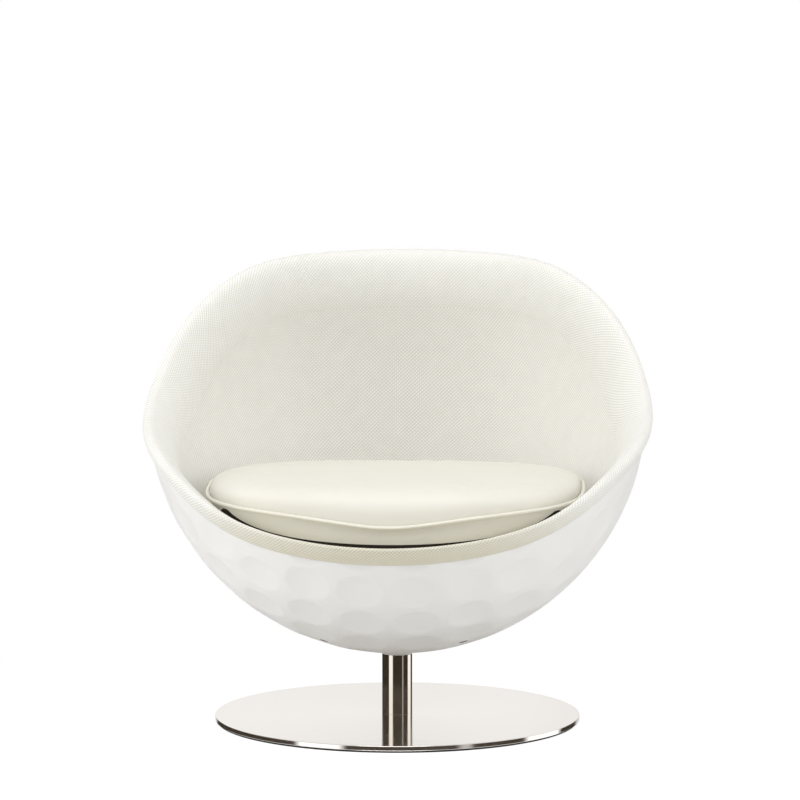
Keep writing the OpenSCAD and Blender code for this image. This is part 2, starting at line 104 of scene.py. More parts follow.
# rings[i, j] is the point of ring i at station j. Each ring closes on itself, neighbouring rings are
# joined by quads, the last ring joins the first if closed, and a cap point closes an end with a fan.
def gridPiece(name, rings, material, body, closed=False, caps=(None, None), uv=None):
    count, stations = rings.shape[:2]
    index = np.arange(count * stations).reshape(count, stations)
    nextRing = np.roll(index, -1, axis=0) if closed else index[1:]
    thisRing = index if closed else index[:-1]
    quads = np.stack([thisRing, np.roll(thisRing, -1, axis=1),
                      np.roll(nextRing, -1, axis=1), nextRing], axis=-1).reshape(-1, 4)
    points = rings.reshape(-1, 3)
    fans = []
    for cap, ring, flip in ((caps[0], index[0], True), (caps[1], index[-1], False)):
        if cap is not None:
            centre = np.full(stations, len(points))
            points = np.vstack([points, [cap]])
            pair = (np.roll(ring, -1), ring) if flip else (ring, np.roll(ring, -1))
            fans.append(np.stack([pair[0], pair[1], centre], axis=-1))
    fans = np.vstack(fans) if fans else np.zeros((0, 3), int)
    corners = np.vstack([quads[:, [0, 1, 2]], quads[:, [0, 2, 3]], fans])
    tri = points[corners]
    if np.einsum("ij,ij->i", tri[:, 0], np.cross(tri[:, 1], tri[:, 2])).sum() < 0:  # turned inside out
        quads, fans = quads[:, ::-1], fans[:, ::-1]
    flipped = quads[0, 0] != index[0, 0]
    mesh = bpy.data.meshes.new(name)
    mesh.vertices.add(len(points))
    mesh.vertices.foreach_set("co", points.astype(np.float32).ravel())
    around = np.concatenate([quads.ravel(), fans.ravel()]).astype(np.int32)
    mesh.loops.add(len(around))
    mesh.loops.foreach_set("vertex_index", around)
    mesh.polygons.add(len(quads) + len(fans))
    starts = np.concatenate([np.arange(len(quads)) * 4, quads.size + np.arange(len(fans)) * 3])
    mesh.polygons.foreach_set("loop_start", starts.astype(np.int32))
    if uv is not None:  # (low, high): map values at both sides of each strip, with one more station
        low, high = uv
        face = np.stack([low[:, :-1], low[:, 1:], high[:, 1:], high[:, :-1]], axis=2).reshape(-1, 4, 2)
        face = face[:, ::-1] if flipped else face
        flat = np.concatenate([face.reshape(-1, 2), np.zeros((fans.size, 2))])
        mesh.uv_layers.new(name="weave").data.foreach_set("uv", flat.astype(np.float32).ravel())
    mesh.update(calc_edges=True)
    mesh.polygons.foreach_set("use_smooth", np.ones(len(mesh.polygons), bool))
    mesh.validate()
    mesh.materials.append(material)
    piece = bpy.data.objects.new(name, mesh)
    bpy.context.scene.collection.objects.link(piece)
    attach(piece, body)
    return piece


# The profile's points (distance from the axis, height) are carried round the axis. A profile that
# starts and ends on the axis is closed there with fans.
def lathePiece(name, profile, material, body, stations=256, closed=False):
    profile = np.array(profile, float)
    caps = [None, None]
    if not closed:
        caps = [(0, 0, profile[0, 1]), (0, 0, profile[-1, 1])]
        profile = profile[1:-1]
    turn = fullTurn(stations)
    rings = np.stack([profile[:, :1] * np.cos(turn), profile[:, :1] * np.sin(turn),
                      np.repeat(profile[:, 1:], stations, axis=1)], axis=-1)
    return gridPiece(name, rings, material, body, closed=closed, caps=caps)


# A profile from its square corners: distance from the axis, height and edge radius of each. A corner
# with a radius becomes an arc, and a point just past each end of the arc keeps the flat faces flat.
def roundedProfile(corners, steps=5, margin=0.25):
    points = np.array(corners, float)[:, :2]
    angle = np.linspace(0, math.pi / 2, steps)[:, None]
    profile = []
    for i, (point, (_, _, radius)) in enumerate(zip(points, corners)):
        if radius == 0:
            profile.append(point)
            continue
        before = unit(points[i - 1] - point)
        after = unit(points[(i + 1) % len(points)] - point)
        centre = point + (before + after) * radius
        arc = centre - after * radius * np.cos(angle) - before * radius * np.sin(angle)
        flat = radius + radius * margin
        profile += [point + before * flat, *arc, point + after * flat]
    return profile


# Materials

# One noise moves both the tone, between two colours, and the gloss, between two roughnesses.
def mottle(tree, shader, noise, colours, roughness):
    tone = addNode(tree, "ShaderNodeMix", {0: (noise, 0), 6: linearColour(colours[0]),
                                           7: linearColour(colours[1])}, data_type="RGBA")
    rough = addNode(tree, "ShaderNodeMapRange", {0: (noise, 0), 3: roughness[0], 4: roughness[1]})
    feedShader(tree, shader, Base_Color=(tone, 2), Roughness=(rough, 0))


# Basket weave of off-white wool yarn: threads pass over and under in a chequer of floats, 3.1 mm each,
# so the eye sees a lattice of diagonal lines, stronger along the twist of the yarn. The UV map counts
# floats: height = 1/2 + twist * cos(pi (u + v)) / 2 - (1 - twist) * cos(pi (u - v)) / 2. The front of
# the seat, below 0.30 to 0.40 m up, is painted a little darker and warmer: painted shade.
def weaveMaterial():
    spec = {"yarn": "#FDFDFC", "low": "#E1DFD5", "gap": "#BAB7A9", "twist": 0.72, "gapDepth": 0.25,
            "gapSlope": 6.0, "roughness": 0.85, "bump": 0.3, "bumpDistance": 0.0005, "slubScale": 45.0,
            "slubShades": (0.95, 1.03), "shadeTint": "#EAE5D4", "shadeHeights": (0.30, 0.40)}
    material, tree, shader = newMaterial("woven wool, basket weave", Roughness=spec["roughness"],
                                         Sheen_Weight=0.2, Sheen_Roughness=0.5, Specular_IOR_Level=0.2)
    uv = addNode(tree, "ShaderNodeUVMap", uv_map="weave")
    split = addNode(tree, "ShaderNodeSeparateXYZ", {0: (uv, 0)})
    waves = []
    for operation, share in (("ADD", spec["twist"]), ("SUBTRACT", spec["twist"] - 1)):
        diagonal = addNode(tree, "ShaderNodeMath", {0: (split, 0), 1: (split, 1)}, operation=operation)
        angle = addNode(tree, "ShaderNodeMath", {0: (diagonal, 0), 1: math.pi}, operation="MULTIPLY")
        wave = addNode(tree, "ShaderNodeMath", {0: (angle, 0)}, operation="COSINE")
        waves.append(addNode(tree, "ShaderNodeMath", {0: (wave, 0), 1: share / 2}, operation="MULTIPLY"))
    both = addNode(tree, "ShaderNodeMath", {0: (waves[0], 0), 1: (waves[1], 0)}, operation="ADD")
    floats = addNode(tree, "ShaderNodeMath", {0: (both, 0), 1: 0.5}, operation="ADD")
    bows = []
    for axis in (0, 1):  # 0 in the gap at the end of a float, 1 from a sixth of its length on
        inside = addNode(tree, "ShaderNodeMath", {0: (split, axis), 1: 0.5}, operation="PINGPONG")
        bows.append(addNode(tree, "ShaderNodeMath", {0: (inside, 0), 1: spec["gapSlope"]},
                            operation="MULTIPLY", use_clamp=True))
    thread = addNode(tree, "ShaderNodeMath", {0: (bows[0], 0), 1: (bows[1], 0)}, operation="MINIMUM")
    lifted = addNode(tree, "ShaderNodeMapRange", {0: (thread, 0), 3: 1 - spec["gapDepth"], 4: 1.0})
    height = addNode(tree, "ShaderNodeMath", {0: (floats, 0), 1: (lifted, 0)}, operation="MULTIPLY")
    # painted shade: the yarn's colour darkens where the weave lies low and is darkest in the gaps between
    # floats
    yarn = addNode(tree, "ShaderNodeMix", {0: (height, 0), 6: linearColour(spec["low"]),
                                           7: linearColour(spec["yarn"])}, data_type="RGBA")
    colour = addNode(tree, "ShaderNodeMix", {0: (lifted, 0), 6: linearColour(spec["gap"]), 7: (yarn, 2)},
                     data_type="RGBA")
    where = addNode(tree, "ShaderNodeTexCoord")
    slub = addNode(tree, "ShaderNodeTexNoise", {"Vector": (where, "Object"), "Scale": spec["slubScale"],
                                                "Detail": 3.0})
    shade = addNode(tree, "ShaderNodeMapRange", {0: (slub, 0), 3: spec["slubShades"][0],
                                                 4: spec["slubShades"][1]})
    slubbed = addNode(tree, "ShaderNodeVectorMath", {0: (colour, 2), 1: (shade, 0)}, operation="MULTIPLY")
    place = addNode(tree, "ShaderNodeSeparateXYZ", {0: (where, "Object")})
    # painted shade: below 0.30 to 0.40 m up, the weave's colour is multiplied by a darker, warmer tint
    aboveShade = addNode(tree, "ShaderNodeMapRange", {0: (place, 2), 1: spec["shadeHeights"][0],
                                                  2: spec["shadeHeights"][1]}, interpolation_type="SMOOTHSTEP")
    paintedShade = addNode(tree, "ShaderNodeMix", {0: (aboveShade, 0), 6: linearColour(spec["shadeTint"]), 7: grey(1)},
                   data_type="RGBA")
    tinted = addNode(tree, "ShaderNodeVectorMath", {0: (slubbed, 0), 1: (paintedShade, 2)}, operation="MULTIPLY")
    bump = addNode(tree, "ShaderNodeBump", {"Height": (height, 0), "Strength": spec["bump"],
                                            "Distance": spec["bumpDistance"]})
    feedShader(tree, shader, Base_Color=(tinted, 0), Normal=(bump, 0))
    return material


# Gelcoat on a moulded glass-fibre shell: cool white, satin gloss, with the faint unevenness that a
# moulded and polished surface keeps.
def shellMaterial():
    spec = {"colours": ("#F2F1EE", "#EFEEEB"), "roughness": (0.40, 0.48), "cloudScale": 9.0,
            "rippleScale": 130.0, "bump": 0.08, "bumpDistance": 0.0004}
    material, tree, shader = newMaterial("gelcoat, moulded and polished", IOR=1.5)
    where = addNode(tree, "ShaderNodeTexCoord")
    cloud = addNode(tree, "ShaderNodeTexNoise", {"Vector": (where, "Object"), "Scale": spec["cloudScale"],
                                                 "Detail": 4.0})
    ripple = addNode(tree, "ShaderNodeTexNoise", {"Vector": (where, "Object"), "Scale": spec["rippleScale"],
                                                  "Detail": 2.0})
    bump = addNode(tree, "ShaderNodeBump", {"Height": (ripple, 0), "Strength": spec["bump"],
                                            "Distance": spec["bumpDistance"]})
    mottle(tree, shader, cloud, spec["colours"], spec["roughness"])
    feedShader(tree, shader, Normal=(bump, 0))
    return material


# Smooth pigmented cow hide: cream, with a low sheen, fine pores and soft pull lines. Pores of 0.8 mm
# are drawn 1.6 mm apart so that they show at all; the pull lines are stretched along the seat's width.
def leatherMaterial(name, colours):
    spec = {"roughness": (0.52, 0.64), "cloudScale": 7.0, "poreScale": 620.0, "poreBump": 0.05,
            "poreDepth": 0.0003, "pull": (10.0, 34.0, 30.0), "pullScale": 1.6, "pullBend": 0.9,
            "pullBump": 0.10, "pullDepth": 0.003}
    material, tree, shader = newMaterial(name, IOR=1.45, Sheen_Weight=0.05)
    where = addNode(tree, "ShaderNodeTexCoord")
    pores = addNode(tree, "ShaderNodeTexVoronoi", {"Vector": (where, "Object"), "Scale": spec["poreScale"]})
    cloud = addNode(tree, "ShaderNodeTexNoise", {"Vector": (where, "Object"), "Scale": spec["cloudScale"],
                                                 "Detail": 5.0})
    pull = addNode(tree, "ShaderNodeMapping", {0: (where, "Object"), 3: spec["pull"]})
    lines = addNode(tree, "ShaderNodeTexNoise", {"Vector": (pull, 0), "Scale": spec["pullScale"],
                                                 "Detail": 6.0, "Distortion": spec["pullBend"]})
    wide = addNode(tree, "ShaderNodeBump", {"Height": (lines, 0), "Strength": spec["pullBump"],
                                            "Distance": spec["pullDepth"]})
    fine = addNode(tree, "ShaderNodeBump", {"Height": (pores, 0), "Strength": spec["poreBump"],
                                            "Distance": spec["poreDepth"], "Normal": (wide, 0)})
    mottle(tree, shader, cloud, colours, spec["roughness"])
    feedShader(tree, shader, Normal=(fine, 0))
    return material


# Ground stainless steel: fine parallel scratches, 0.3 mm apart and drawn at about 1 mm, stretch each
# reflection across the grinding direction. grain scales the scratch noise along each axis.
def brushedMaterial(name, colours, roughness, grain, inRings=False):
    spec = {"stretch": 0.8, "stretchTurn": 0.25, "bump": 0.02, "bumpDistance": 0.0001}
    material, tree, shader = newMaterial(name, Metallic=1.0, Anisotropic=spec["stretch"],
                                         Anisotropic_Rotation=spec["stretchTurn"])
    coords = (addNode(tree, "ShaderNodeTexCoord"), "Object")
    if inRings:  # on a disc the scratches run round the axis, so they vary with the distance from it
        split = addNode(tree, "ShaderNodeSeparateXYZ", {0: coords})
        flat = addNode(tree, "ShaderNodeCombineXYZ", {0: (split, 0), 1: (split, 1)})
        radius = addNode(tree, "ShaderNodeVectorMath", {0: (flat, 0)}, operation="LENGTH")
        angle = addNode(tree, "ShaderNodeMath", {0: (split, 1), 1: (split, 0)}, operation="ARCTAN2")
        coords = (addNode(tree, "ShaderNodeCombineXYZ", {0: (radius, 1), 1: (angle, 0)}), 0)
    scaled = addNode(tree, "ShaderNodeMapping", {0: coords, 3: grain})
    scratch = addNode(tree, "ShaderNodeTexNoise", {"Vector": (scaled, 0), "Scale": 1.0, "Detail": 3.0})
    direction = addNode(tree, "ShaderNodeTangent", direction_type="RADIAL", axis="Z")
    bump = addNode(tree, "ShaderNodeBump", {"Height": (scratch, 0), "Strength": spec["bump"],
                                            "Distance": spec["bumpDistance"]})
    mottle(tree, shader, scratch, colours, roughness)
    feedShader(tree, shader, Tangent=(direction, 0), Normal=(bump, 0))
    return material


# A finish with a mottled tone between two colours, an uneven gloss and a slight relief.
def plainMaterial(name, colours, roughness, scale, bumpHeight=0.0002, stretch=(1, 1, 1), **sockets):
    material, tree, shader = newMaterial(name, **sockets)
    where = addNode(tree, "ShaderNodeTexCoord")
    scaled = addNode(tree, "ShaderNodeMapping", {0: (where, "Object"), 3: stretch})
    cloud = addNode(tree, "ShaderNodeTexNoise", {"Vector": (scaled, 0), "Scale": scale, "Detail": 4.0})
    bump = addNode(tree, "ShaderNodeBump", {"Height": (cloud, 0), "Strength": 0.15, "Distance": bumpHeight})
    mottle(tree, shader, cloud, colours, roughness)
    feedShader(tree, shader, Normal=(bump, 0))
    return material


finish = {
    "shell": shellMaterial(),
    "weave": weaveMaterial(),
    "leather": leatherMaterial("pigmented cow hide, smooth cream", ("#E9E7DD", "#E5E2D6")),
    # painted highlight: the piping's hide is paler than the cushion's, for the lit top of the cord
    "piping": leatherMaterial("pigmented cow hide, rolled over cord", ("#EFECE1", "#E8E4D6")),
    "plate": brushedMaterial("stainless steel, ground in rings", ("#EBE7E1", "#E3DED8"), (0.10, 0.16),
                             (900.0, 2.0, 1.0), inRings=True),
    "column": brushedMaterial("stainless steel tube, ground round", ("#D9D3CB", "#C9C2B8"), (0.06, 0.11),
                              (6.0, 6.0, 900.0)),
    "nylon": plainMaterial("nylon, turned", ("#D9D8D4", "#CFCDC8"), (0.4, 0.5), 60, IOR=1.53),
    "rubber": plainMaterial("rubber sheet, die-cut", ("#151515", "#1C1C1D"), (0.75, 0.9), 300),
    "zinc": plainMaterial("steel, zinc plated", ("#A9ABAD", "#96989B"), (0.3, 0.42), 80, Metallic=1.0),
    "black": plainMaterial("steel, black oxide", ("#161617", "#202022"), (0.38, 0.5), 120, Metallic=0.6),
    "bearing": plainMaterial("bearing steel, polished", ("#C2C4C6", "#B4B6B9"), (0.12, 0.18), 90,
                             Metallic=1.0),
    "brass": plainMaterial("brass, stamped", ("#C9A257", "#B58E45"), (0.25, 0.35), 70, Metallic=1.0),
    "paint": plainMaterial("powder coat, black", ("#232427", "#2B2C30"), (0.5, 0.62), 400, 0.0004),
    "plywood": plainMaterial("birch plywood, sawn", ("#CDAF83", "#BC9A6B"), (0.6, 0.7), 14,
                             stretch=(1, 8, 60)),
    # painted shade: a dark brown cloth on the cushion's lower side, standing for the shadowed gap between
    # cushion and rim
    "gapShade": plainMaterial("painted gap shade, dark brown", ("#2A2219", "#211A13"), (0.8, 0.9), 250),
    "strip": plainMaterial("fibre strip, pressed", ("#2A2825", "#33302C"), (0.7, 0.8), 200),
}
nodeFinish = {
    "base_screws": "zinc", "column_foot": "zinc", "spindle": "zinc", "spindle_flange": "zinc",
    "flange_bolts": "zinc", "board_screws": "zinc", "lower_bush": "nylon", "bearing_lower_race": "bearing",
    "bearing_upper_race": "bearing", "bearing_balls": "bearing", "bearing_cage": "brass",
    "retaining_ring": "black", "shell_screws": "black", "cross_frame": "paint", "board_posts": "paint",
    "seat_board": "plywood", "tack_strip": "strip",
}
for nodeName, finishName in nodeFinish.items():
    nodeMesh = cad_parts[nodeName].data
    nodeMesh.materials.clear()
    nodeMesh.materials.append(finish[finishName])
print("materials made:", len(finish))


# The rim line that shell, roll and lining share

ball = {"height": 0.521, "radius": 0.4075}
rimCurve = {  # seen from the side, as shares of the ball's radius: y to the back, z up
    "y": np.array([-1, -0.72, -0.48, -0.24, 0, 0.2, 0.4, 0.58, 0.78, 1]),
    "z": np.array([-0.565, -0.428, -0.256, -0.138, -0.036, 0.104, 0.348, 0.516, 0.577, 0.6]),
    "passes": 40,
}
ballCentre = np.array([0, 0, ball["height"]])


def rimHeight(y):  # a cubic through the rim's points; each slope is that between the two neighbours
    ys, zs = rimCurve["y"], rimCurve["z"]
    last = len(ys) - 1
    place = np.arange(len(ys))
    low, high = np.maximum(place - 1, 0), np.minimum(place + 1, last)
    slopes = (zs[high] - zs[low]) / (ys[high] - ys[low])
    i = np.clip(np.searchsorted(ys, y, side="right") - 1, 0, last - 1)
    w = ys[i + 1] - ys[i]
    t = (y - ys[i]) / w
    return ((1 + 2 * t) * (1 - t) ** 2 * zs[i] + t * t * (3 - 2 * t) * zs[i + 1]
            + w * t * (1 - t) ** 2 * slopes[i] - w * t * t * (1 - t) * slopes[i + 1])


# Unit direction from the ball's centre to the rim, at a turn about the axis. The rim's height follows
# from the depth and the depth from the height, so it is found in passes.
def rimMiddle(turn):
    z = np.zeros_like(turn)
    for _ in range(rimCurve["passes"]):
        z = rimHeight(np.sin(turn) * np.sqrt(1 - z * z))
    h = np.sqrt(1 - z * z)
    return np.stack([h * np.cos(turn), h * np.sin(turn), z], axis=-1)


def rimDirection(turn, up):  # the same direction moved along the ball by up, square away from the rim line
    step = math.radians(1)
    middle = rimMiddle(turn)
    square = unit(np.cross(middle, rimMiddle(turn + step) - rimMiddle(turn - step)))
    return unit(middle + square * (up[..., None] / ball["radius"]))


# Points at an angle from straight down and a distance from the ball's centre; rows are rings.
def sphereRings(turn, angles, radii):
    flat = radii * np.sin(angles)
    return ballCentre + np.stack([flat * np.cos(turn), flat * np.sin(turn), -radii * np.cos(angles)], axis=-1)


# Shell

shellSpec = {
    "wall": 0.008, "edgeDrop": 0.006, "holeRadius": 0.018, "stations": 480, "rings": 150, "innerRings": 20,
    "dimpleRadius": 0.037, "dimpleDepth": 0.0045, "dimplePower": 2.6, "dimpleSoftness": 0.02,
    "rowCounts": np.array([30, 30, 24, 22, 18, 12, 6]), "rowStep": math.radians(12),
    "screwTilt": math.radians(23), "screwTurns": np.radians([45, 135, 225, 315]),
    "recessRadius": 0.008, "recessDepth": 0.004, "recessChamfer": 0.0008, "recessStations": 48,
    "axisRadius": 0.0001,  # the recess tool's end faces start this far from its own axis
}


# How deep the surface lies in a direction. Rows of dimples, 12 degrees apart, run round the left-right
# axis and the nearest dimple counts: depth * (1 + softness) * q * q / (q + softness), which is a bowl with
# a softened edge, with q = 1 - (distance / radius) ^ power.
def dimpleSink(direction):
    side = np.arcsin(np.clip(direction[..., 0], -1, 1))
    row = np.floor(np.abs(side) / shellSpec["rowStep"]).astype(int)
    inRange = row < len(shellSpec["rowCounts"])
    row = np.minimum(row, len(shellSpec["rowCounts"]) - 1)
    rowSide = np.sign(side) * (row + 0.5) * shellSpec["rowStep"]
    step = 2 * math.pi / shellSpec["rowCounts"][row]
    turn = np.round(np.arctan2(-direction[..., 1], -direction[..., 2]) / step) * step
    centre = np.stack([np.sin(rowSide), -np.cos(rowSide) * np.sin(turn), -np.cos(rowSide) * np.cos(turn)],
                      axis=-1)
    distance = np.linalg.norm(direction - centre, axis=-1) * ball["radius"]
    q = np.clip(1 - (distance / shellSpec["dimpleRadius"]) ** shellSpec["dimplePower"], 0, 1)
    soft = shellSpec["dimpleSoftness"]
    return np.where(inRange, shellSpec["dimpleDepth"] * (1 + soft) * q * q / (q + soft), 0)


# Rings run up the outside from a hole round the lowest point to the rim, then down the inside.
def makeShell():
    spec = shellSpec
    edge = rimDirection(fullTurn(spec["stations"]), np.full(spec["stations"], -spec["edgeDrop"]))
    turn, last = np.arctan2(edge[:, 1], edge[:, 0]), np.arccos(-edge[:, 2])
    inner = ball["radius"] - spec["wall"]
    rings = []
    for radius, count, way in ((ball["radius"], spec["rings"], 1), (inner, spec["innerRings"], -1)):
        first = math.asin(spec["holeRadius"] / radius)
        share = np.linspace(0, 1, count)[::way, None]
        points = sphereRings(turn, first + (last - first) * share, radius)
        if way > 0:
            outward = unit(points - ballCentre)
            points = points - outward * dimpleSink(outward)[..., None]
        rings.append(points)
    return gridPiece("ballShell", np.concatenate(rings), finish["shell"], "seat", closed=True)


# Round recesses for the screw heads: straight up to a chamfer's width under the surface, then 45 degrees.
def cutRecesses(shell):
    spec = shellSpec
    wide, bevel = spec["recessRadius"], spec["recessChamfer"]
    angle = fullTurn(spec["recessStations"])[:, None]
    tools = []
    for turn in spec["screwTurns"]:
        outward = np.array([math.sin(spec["screwTilt"]) * math.cos(turn),
                            math.sin(spec["screwTilt"]) * math.sin(turn), -math.cos(spec["screwTilt"])])
        across = unit(np.cross(outward, [0, 0, 1]))
        along = np.cross(outward, across)
        seat = ball["radius"] - spec["recessDepth"]
        surface = ball["radius"] - dimpleSink(outward)
        top = surface + 2 * bevel
        profile = [(spec["axisRadius"], seat), (wide, seat), (wide, surface - bevel),
                   (wide + 3 * bevel, top), (spec["axisRadius"], top)]
        rings = np.stack([ballCentre + outward * h + r * (across * np.cos(angle) + along * np.sin(angle))
                          for r, h in profile])
        tools.append(gridPiece("recessTool", rings, finish["shell"], "seat",
                               caps=(ballCentre + outward * seat, ballCentre + outward * top)))
    for tool in tools:
        cutter = shell.modifiers.new("recess", "BOOLEAN")
        cutter.operation, cutter.object, cutter.solver = "DIFFERENCE", tool, "EXACT"
    evaluated = shell.evaluated_get(bpy.context.evaluated_depsgraph_get())
    mesh = bpy.data.meshes.new_from_object(evaluated)
    shell.modifiers.clear()
    shell.data = mesh
    for tool in tools:
        bpy.data.objects.remove(tool)


ballShell = makeShell()
cutRecesses(ballShell)
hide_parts("shell")
print("shell made:", len(ballShell.data.polygons), "faces")


# Woven lining and padded roll

upholstery = {  # the pairs of drop, crest and handles hold a value in front and one behind
    "cell": 0.0031, "weaveWaist": 0.88, "stations": 360, "drop": (0.030, 0.085), "clothRadius": 0.370,
    "backRadius": 0.3992, "deck": 0.300, "boardTop": 0.2585, "cornerSoftness": 0.012, "cornerLimit": 0.98,
    "cornerStrips": 2, "deckRings": 24, "wallRings": 48, "backSkip": 4, "leastCosine": 0.05,
    "edgeMargin": 0.002, "tuckDepth": 0.012, "tuckWidth": 0.013,
    "outer": 0.4175, "crestRadius": (0.003, 0.012), "crestUp": (0.0125, -0.003),
    "crestTurn": math.radians(120), "hemRadius": 0.4080, "hemFold": 0.0015, "skirt": 0.0205,
    "shellEdge": -0.0056, "rollRings": 16, "lastStep": 0.015, "overlap": 0.0003,
    "handleIn": (0.003, 0.014), "handleDown": (0.002, 0.008), "handleUp": (0.004, 0.044),
    "ledges": (0.012, 0.014),
}


def rimShare(turn):  # near 0 in front, where the rim is lowest, and 1 from the ball's middle up
    return smoothStep(0, 1, 1 - rimMiddle(turn)[..., 2] / rimCurve["z"][0])


def blend(pair, share):  # from the value in front to the value behind
    return pair[0] * (1 - share) + pair[1] * share


def evenCells(length):  # an even number of floats, so that the weave closes on itself
    return 2 * np.round(length / upholstery["cell"] / 2)


def planeReach(angles, level):  # from the ball's centre to a level plane, at angles from straight down
    return (ball["height"] - level) / np.maximum(np.cos(angles), upholstery["leastCosine"])


# The padded wall and the seat deck as one closed solid. Its face is the nearer of a sphere and the deck
# plane, rounded where they meet, with a soft groove along that corner; its back is the nearer of a wider
# sphere and the plane of the board. On the deck the weave lies flat, up the wall it follows the turn.
def makeLining():
    spec = upholstery
    turnKeys = fullTurn(spec["stations"])
    edge = rimDirection(turnKeys, -blend(spec["drop"], rimShare(turnKeys)))
    turn, last = np.arctan2(edge[:, 1], edge[:, 0]), np.arccos(-edge[:, 2])
    corner = math.acos((ball["height"] - spec["deck"]) / spec["clothRadius"])
    split = np.minimum(corner, last * spec["cornerLimit"])
    deckShare = np.linspace(0, 1, spec["deckRings"] + 1)[1:, None]
    wallShare = np.linspace(0, 1, spec["wallRings"] + 1)[1:, None]
    face = np.concatenate([split * deckShare, split + (last - split) * wallShare])
    face = np.insert(face, -1, face[-1] - spec["edgeMargin"], axis=0)
    tuck = spec["tuckDepth"] * np.exp(-((face - split) * spec["clothRadius"] / spec["tuckWidth"]) ** 2)
    reach = smoothMin(np.full_like(face, spec["clothRadius"]), planeReach(face, spec["deck"]),
                      spec["cornerSoftness"])
    front = sphereRings(turn, face, reach + tuck)
    behind = np.concatenate([face[-1:], face[-2::-spec["backSkip"]]])
    back = sphereRings(turn, behind, np.minimum(spec["backRadius"], planeReach(behind, spec["boardTop"])))
    rings = np.concatenate([front, back])
    wrapped = np.concatenate([rings, rings[:, :1]], axis=1)
    flat = wrapped[..., :2] / spec["cell"]
    level = (ball["height"] - wrapped[..., 2]) / np.linalg.norm(wrapped - ballCentre, axis=-1)
    rise = np.arccos(np.clip(level, -1, 1)) * spec["clothRadius"] / spec["cell"]
    floats = evenCells(2 * math.pi * spec["clothRadius"] * spec["weaveWaist"])
    around = floats * np.arange(spec["stations"] + 1) / spec["stations"]
    bent = np.stack([np.broadcast_to(around, rise.shape), rise], axis=-1)
    onDeck = (np.arange(len(rings) - 1) < spec["deckRings"] - spec["cornerStrips"])[:, None, None]
    uv = (np.where(onDeck, flat[:-1], bent[:-1]), np.where(onDeck, flat[1:], bent[1:]))
    return gridPiece("wovenLining", rings, finish["weave"], "seat", uv=uv,
                     caps=((0, 0, spec["deck"]), (0, 0, spec["boardTop"])))


# Distance from the ball's centre and height up the ball, at each turn: the folded hem, a band that
# leans out to a narrow crest, an arc over the crest, and a cubic curve with two handles that runs down
# the wall, short and straight in front, long and soft behind; then back under the hem, inside the roll.
def rollSection(turn):
    spec = upholstery
    high, level = rimShare(turn), 0 * turn
    t = np.linspace(0, 1, spec["rollRings"])[:, None]
    radius, crest = blend(spec["crestRadius"], high), blend(spec["crestUp"], high)
    fold = spec["hemRadius"] + spec["hemFold"]
    band = (fold + (spec["outer"] - fold) * np.sin(t * math.pi / 2) + level,
            -spec["skirt"] * (1 - t) + crest * t)
    arc = t[1:] * spec["crestTurn"]
    top = (spec["outer"] - radius + radius * np.cos(arc), crest + radius * np.sin(arc))
    start = (top[0][-1], top[1][-1])
    end = (spec["clothRadius"] - spec["overlap"], -blend(spec["drop"], high))
    ahead = (start[0] - blend(spec["handleIn"], high), start[1] - blend(spec["handleDown"], high))
    behind = (end[0], end[1] + blend(spec["handleUp"], high))
    t = np.insert(t[1:], -1, 1 - spec["lastStep"], axis=0)
    inside = [((1 - t) ** 3 * start[k] + 3 * t * (1 - t) ** 2 * ahead[k] + 3 * t * t * (1 - t) * behind[k]
               + t ** 3 * end[k]) for k in (0, 1)]
    under = [(spec["clothRadius"] + spec["overlap"], end[1] - spec["ledges"][0]),
             (spec["clothRadius"] + 2 * spec["overlap"], end[1] - spec["ledges"][1]),
             (spec["backRadius"], end[1]), (spec["backRadius"], spec["shellEdge"] + level),
             (spec["hemRadius"], spec["shellEdge"] + level), (spec["hemRadius"], -spec["skirt"] + level)]
    radii = np.concatenate([band[0], top[0], inside[0] + level, [r + level for r, up in under]])
    return radii, np.concatenate([band[1], top[1], inside[1], [up for r, up in under]])


# The section is carried round the rim. The weave's map counts floats along the roll, by the length of
# one ring on its crest, and across it from ring to ring.
def makeRoll():
    spec = upholstery
    stations = 2 * spec["stations"]
    turn = fullTurn(stations)
    radii, ups = rollSection(turn)
    rings = ballCentre + radii[..., None] * rimDirection(turn, ups)
    ring = rings[spec["rollRings"]]
    path = np.linalg.norm(np.roll(ring, -1, axis=0) - ring, axis=-1)
    along = np.concatenate([[0], np.cumsum(path)]) / path.sum() * evenCells(path.sum())
    wrapped = np.concatenate([rings, rings[:, :1]], axis=1)
    steps = np.linalg.norm(np.diff(wrapped, axis=0), axis=-1)
    across = -np.concatenate([np.zeros((1, stations + 1)), np.cumsum(steps, axis=0)]) / spec["cell"]
    uv = np.stack(np.broadcast_arrays(along[None, :], across), axis=-1)
    return gridPiece("rimRoll", rings, finish["weave"], "seat", closed=True, uv=(uv, np.roll(uv, -1, axis=0)))


wovenLining = makeLining()
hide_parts("lining", "wall_foam", "deck_foam")
rimRoll = makeRoll()
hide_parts("rim_cover", "rim_core")
print("lining and roll made")


# Loose cushion

cushion = {
    "halfWidth": 0.307, "front": 0.272, "back": 0.260, "shift": 0.025, "crown": 0.412, "base": 0.3005,
    "power": 2.8, "sideEdge": 0.392, "frontEdge": 0.348, "wideDip": 0.47, "vPower": 3, "vSoftness": 0.0008,
    "stations": 288, "rings": 44, "ringSpread": 0.9, "topPower": 8.5, "topFullness": 0.31,
    "lowPower": (4, 26, 14),  # everywhere, added in front, and how quickly that fades to the sides
    "lowFullness": 0.38, "lowSteps": 24, "lastShares": (0.002, 0.0005, 0.0001),
    "darkStep": 12, "darkShares": (0.1, 0.8), "darkAbove": 0.0068, "darkSlope": 0.35,
    "darkFront": (0.3, 0.55), "puckerHeight": 0.0009, "puckerReach": 0.030,
    "pipingRadius": 0.003, "seamInset": 0.0069, "pipingTuck": 0.0005, "pipingStations": 720,
    "pipingSides": 16,
}


